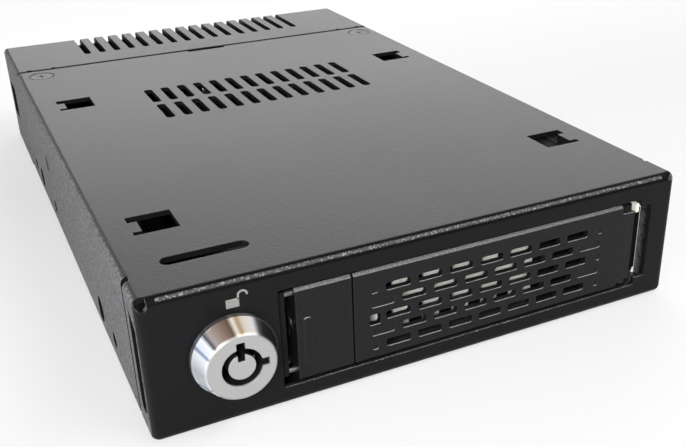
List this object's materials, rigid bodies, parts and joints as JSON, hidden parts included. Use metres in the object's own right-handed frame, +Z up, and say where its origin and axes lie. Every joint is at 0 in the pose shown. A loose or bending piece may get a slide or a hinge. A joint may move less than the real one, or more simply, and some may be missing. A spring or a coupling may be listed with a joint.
{
  "type": "hot swap drive cage",
  "caption": "Flat black sheet steel bay cage with a key lock and a sliding drive tray behind a hinged grille lever with a sliding latch.",
  "frame": {"origin": "centre of the bounding box on the underside", "axes": "+X to the right side seen from the front, +Y from the front face to the rear, +Z up"},
  "size_m": [0.1016, 0.1666, 0.0254],
  "materials": {
    "powder_coat": "black fine texture powder coat",
    "zinc_sheet": "bare zinc plated sheet",
    "black_screw": "black oxide",
    "chrome": "bright chrome",
    "nickel": "nickel plated",
    "spring_steel": "drawn spring wire",
    "black_plastic": "black moulded plastic",
    "front_plastic": "satin black die casting",
    "board": "green solder mask",
    "gold_contact": "gold plated",
    "capacitor_sleeve": "dark sleeve"
  },
  "bodies": {
    "case": {"case_shell": "powder_coat", "base_pan": "zinc_sheet", "rear_cover": "powder_coat", "cover_screws": "black_screw", "side_screws": "black_screw", "guide_rail_left": "zinc_sheet", "guide_rail_right": "zinc_sheet", "lock_body": "chrome", "lock_nut": "nickel", "main_board": "board", "board_standoffs": "nickel", "board_screws": "nickel", "drive_socket": "black_plastic", "socket_contacts": "gold_contact", "data_connector": "black_plastic", "power_connector": "black_plastic", "capacitors": "capacitor_sleeve", "controller_chip": "black_plastic"},
    "lock": {"lock_plug": "chrome", "lock_pins": "nickel", "lock_cam": "nickel", "cam_screw": "nickel"},
    "tray": {"tray_body": "zinc_sheet", "tray_frame": "black_plastic", "frame_rivets": "nickel", "hinge_pin": "nickel", "latch_rods": "chrome", "latch_spring": "spring_steel", "kick_spring": "spring_steel"},
    "lever": {"lever": "front_plastic"},
    "latch": {"latch_button": "front_plastic"}
  },
  "joints": [
    {"name": "tray_slide", "type": "slide", "parent": "case", "child": "tray", "axis": [0, -1, 0], "range_m": [0, 0.15]},
    {"name": "lever_swing", "type": "hinge", "parent": "tray", "child": "lever", "pos_m": [0.0406, -0.077, 0.0125], "axis": [0, 0, 1], "range_deg": [0, 85]},
    {"name": "latch_slide", "type": "slide", "parent": "tray", "child": "latch", "axis": [-1, 0, 0], "range_m": [0, 0.0015], "stiffness_N_per_m": 600, "springref_m": -0.002, "deforming": ["latch_spring"]},
    {"name": "lock_turn", "type": "hinge", "parent": "case", "child": "lock", "pos_m": [-0.0368, -0.07875, 0.0127], "axis": [0, 1, 0], "range_deg": [0, 90]}
  ]
}
